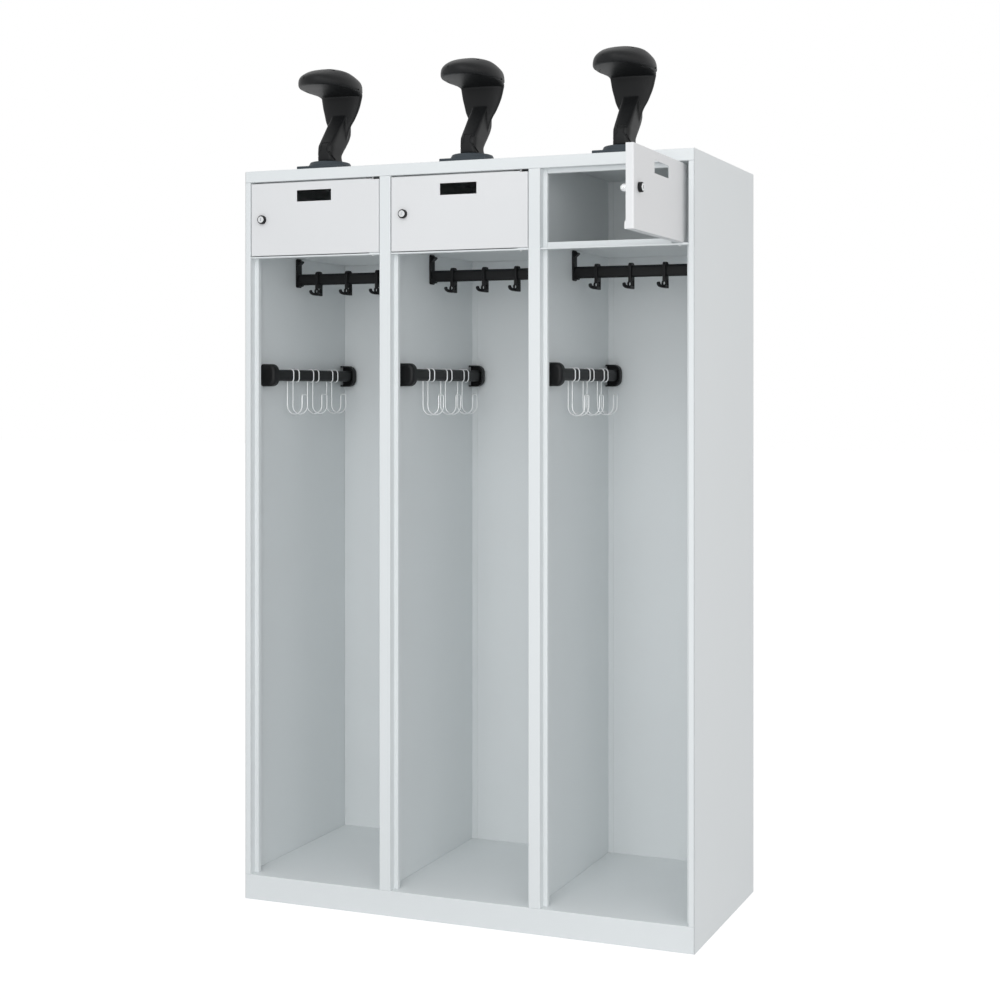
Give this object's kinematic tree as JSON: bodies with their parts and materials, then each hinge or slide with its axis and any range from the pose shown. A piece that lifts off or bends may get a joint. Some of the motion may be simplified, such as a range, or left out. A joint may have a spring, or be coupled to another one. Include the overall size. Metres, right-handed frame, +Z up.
{
  "type": "gear locker",
  "caption": "Open gear locker bays with a lockable door compartment on top of each, sliding coat hooks, wire hooks on a side bar and helmet holders on the roof.",
  "frame": {"origin": "middle of the case's front bottom edge, on the floor", "axes": "+X to the right of someone who faces the locker, +Y from its front to its back, +Z up"},
  "size_m": [1.2, 0.833, 2.1096],
  "materials": {
    "case_paint": "light grey powder coat, satin, very fine texture",
    "door_paint": "light grey powder coat, satin, very fine texture",
    "black_plastic": "black moulded plastic, satin",
    "slate_plastic": "dark blue-grey moulded plastic, matt",
    "lock_chrome": "satin chrome plate",
    "hook_wire": "bright plated steel wire"
  },
  "bodies": {
    "case": {"side_panel_left": "case_paint", "side_panel_right": "case_paint", "partition_1": "case_paint", "partition_2": "case_paint", "roof": "case_paint", "floor_and_plinth": "case_paint", "back_panel": "case_paint", "shelf_1": "case_paint", "shelf_2": "case_paint", "shelf_3": "case_paint", "coat_rail_1": "black_plastic", "coat_rail_2": "black_plastic", "coat_rail_3": "black_plastic", "rail_bracket_left_1": "black_plastic", "rail_bracket_right_1": "black_plastic", "rail_bracket_left_2": "black_plastic", "rail_bracket_right_2": "black_plastic", "rail_bracket_left_3": "black_plastic", "rail_bracket_right_3": "black_plastic", "side_bar_1": "black_plastic", "side_bar_2": "black_plastic", "side_bar_3": "black_plastic", "holder_post_1": "black_plastic", "holder_post_2": "black_plastic", "holder_post_3": "black_plastic", "holder_foot_1": "slate_plastic", "holder_foot_2": "slate_plastic", "holder_foot_3": "slate_plastic"},
    "door_leaf_1": {"door_1": "door_paint", "lock_case_1": "black_plastic"},
    "lock_cylinder_1": {"lock_core_1": "lock_chrome"},
    "door_leaf_2": {"door_2": "door_paint", "lock_case_2": "black_plastic"},
    "lock_cylinder_2": {"lock_core_2": "lock_chrome"},
    "door_leaf_3": {"door_3": "door_paint", "lock_case_3": "black_plastic"},
    "lock_cylinder_3": {"lock_core_3": "lock_chrome"},
    "coat_hook_1_1": {"coat_hook_1_1": "black_plastic"},
    "coat_hook_1_2": {"coat_hook_1_2": "black_plastic"},
    "coat_hook_1_3": {"coat_hook_1_3": "black_plastic"},
    "coat_hook_1_4": {"coat_hook_1_4": "black_plastic"},
    "wire_hook_1_1": {"wire_hook_1_1": "hook_wire"},
    "wire_hook_1_2": {"wire_hook_1_2": "hook_wire"},
    "wire_hook_1_3": {"wire_hook_1_3": "hook_wire"},
    "coat_hook_2_1": {"coat_hook_2_1": "black_plastic"},
    "coat_hook_2_2": {"coat_hook_2_2": "black_plastic"},
    "coat_hook_2_3": {"coat_hook_2_3": "black_plastic"},
    "coat_hook_2_4": {"coat_hook_2_4": "black_plastic"},
    "wire_hook_2_1": {"wire_hook_2_1": "hook_wire"},
    "wire_hook_2_2": {"wire_hook_2_2": "hook_wire"},
    "wire_hook_2_3": {"wire_hook_2_3": "hook_wire"},
    "coat_hook_3_1": {"coat_hook_3_1": "black_plastic"},
    "coat_hook_3_2": {"coat_hook_3_2": "black_plastic"},
    "coat_hook_3_3": {"coat_hook_3_3": "black_plastic"},
    "coat_hook_3_4": {"coat_hook_3_4": "black_plastic"},
    "wire_hook_3_1": {"wire_hook_3_1": "hook_wire"},
    "wire_hook_3_2": {"wire_hook_3_2": "hook_wire"},
    "wire_hook_3_3": {"wire_hook_3_3": "hook_wire"}
  },
  "joints": [
    {"name": "door_swing_1", "type": "hinge", "parent": "case", "child": "door_leaf_1", "pos_m": [-0.239, 0.011, 1.72575], "axis": [0, 0, 1], "range_deg": [0, 110]},
    {"name": "lock_turn_1", "type": "hinge", "parent": "door_leaf_1", "child": "lock_cylinder_1", "pos_m": [-0.549, 0, 1.72575], "axis": [0, -1, 0], "range_deg": [0, 180]},
    {"name": "door_swing_2", "type": "hinge", "parent": "case", "child": "door_leaf_2", "pos_m": [0.161, 0.011, 1.72575], "axis": [0, 0, 1], "range_deg": [0, 110]},
    {"name": "lock_turn_2", "type": "hinge", "parent": "door_leaf_2", "child": "lock_cylinder_2", "pos_m": [-0.149, 0, 1.72575], "axis": [0, -1, 0], "range_deg": [0, 180]},
    {"name": "door_swing_3", "type": "hinge", "parent": "case", "child": "door_leaf_3", "pos_m": [0.561, 0.011, 1.72575], "axis": [0, 0, 1], "range_deg": [-90, 20]},
    {"name": "lock_turn_3", "type": "hinge", "parent": "door_leaf_3", "child": "lock_cylinder_3", "pos_m": [0.572, -0.299, 1.72575], "axis": [1, 0, 0], "range_deg": [0, 180]},
    {"name": "coat_hook_slide_1_1", "type": "slide", "parent": "case", "child": "coat_hook_1_1", "axis": [1, 0, 0], "range_m": [-0.03, 0.03]},
    {"name": "coat_hook_slide_1_2", "type": "slide", "parent": "case", "child": "coat_hook_1_2", "axis": [1, 0, 0], "range_m": [-0.03, 0.03]},
    {"name": "coat_hook_slide_1_3", "type": "slide", "parent": "case", "child": "coat_hook_1_3", "axis": [1, 0, 0], "range_m": [-0.03, 0.03]},
    {"name": "coat_hook_slide_1_4", "type": "slide", "parent": "case", "child": "coat_hook_1_4", "axis": [1, 0, 0], "range_m": [-0.03, 0.03]},
    {"name": "wire_hook_slide_1_1", "type": "slide", "parent": "case", "child": "wire_hook_1_1", "axis": [0, 1, 0], "range_m": [-0.03, 0.03]},
    {"name": "wire_hook_slide_1_2", "type": "slide", "parent": "case", "child": "wire_hook_1_2", "axis": [0, 1, 0], "range_m": [-0.03, 0.03]},
    {"name": "wire_hook_slide_1_3", "type": "slide", "parent": "case", "child": "wire_hook_1_3", "axis": [0, 1, 0], "range_m": [-0.03, 0.03]},
    {"name": "coat_hook_slide_2_1", "type": "slide", "parent": "case", "child": "coat_hook_2_1", "axis": [1, 0, 0], "range_m": [-0.03, 0.03]},
    {"name": "coat_hook_slide_2_2", "type": "slide", "parent": "case", "child": "coat_hook_2_2", "axis": [1, 0, 0], "range_m": [-0.03, 0.03]},
    {"name": "coat_hook_slide_2_3", "type": "slide", "parent": "case", "child": "coat_hook_2_3", "axis": [1, 0, 0], "range_m": [-0.03, 0.03]},
    {"name": "coat_hook_slide_2_4", "type": "slide", "parent": "case", "child": "coat_hook_2_4", "axis": [1, 0, 0], "range_m": [-0.03, 0.03]},
    {"name": "wire_hook_slide_2_1", "type": "slide", "parent": "case", "child": "wire_hook_2_1", "axis": [0, 1, 0], "range_m": [-0.03, 0.03]},
    {"name": "wire_hook_slide_2_2", "type": "slide", "parent": "case", "child": "wire_hook_2_2", "axis": [0, 1, 0], "range_m": [-0.03, 0.03]},
    {"name": "wire_hook_slide_2_3", "type": "slide", "parent": "case", "child": "wire_hook_2_3", "axis": [0, 1, 0], "range_m": [-0.03, 0.03]},
    {"name": "coat_hook_slide_3_1", "type": "slide", "parent": "case", "child": "coat_hook_3_1", "axis": [1, 0, 0], "range_m": [-0.03, 0.03]},
    {"name": "coat_hook_slide_3_2", "type": "slide", "parent": "case", "child": "coat_hook_3_2", "axis": [1, 0, 0], "range_m": [-0.03, 0.03]},
    {"name": "coat_hook_slide_3_3", "type": "slide", "parent": "case", "child": "coat_hook_3_3", "axis": [1, 0, 0], "range_m": [-0.03, 0.03]},
    {"name": "coat_hook_slide_3_4", "type": "slide", "parent": "case", "child": "coat_hook_3_4", "axis": [1, 0, 0], "range_m": [-0.03, 0.03]},
    {"name": "wire_hook_slide_3_1", "type": "slide", "parent": "case", "child": "wire_hook_3_1", "axis": [0, 1, 0], "range_m": [-0.03, 0.03]},
    {"name": "wire_hook_slide_3_2", "type": "slide", "parent": "case", "child": "wire_hook_3_2", "axis": [0, 1, 0], "range_m": [-0.03, 0.03]},
    {"name": "wire_hook_slide_3_3", "type": "slide", "parent": "case", "child": "wire_hook_3_3", "axis": [0, 1, 0], "range_m": [-0.03, 0.03]}
  ]
}
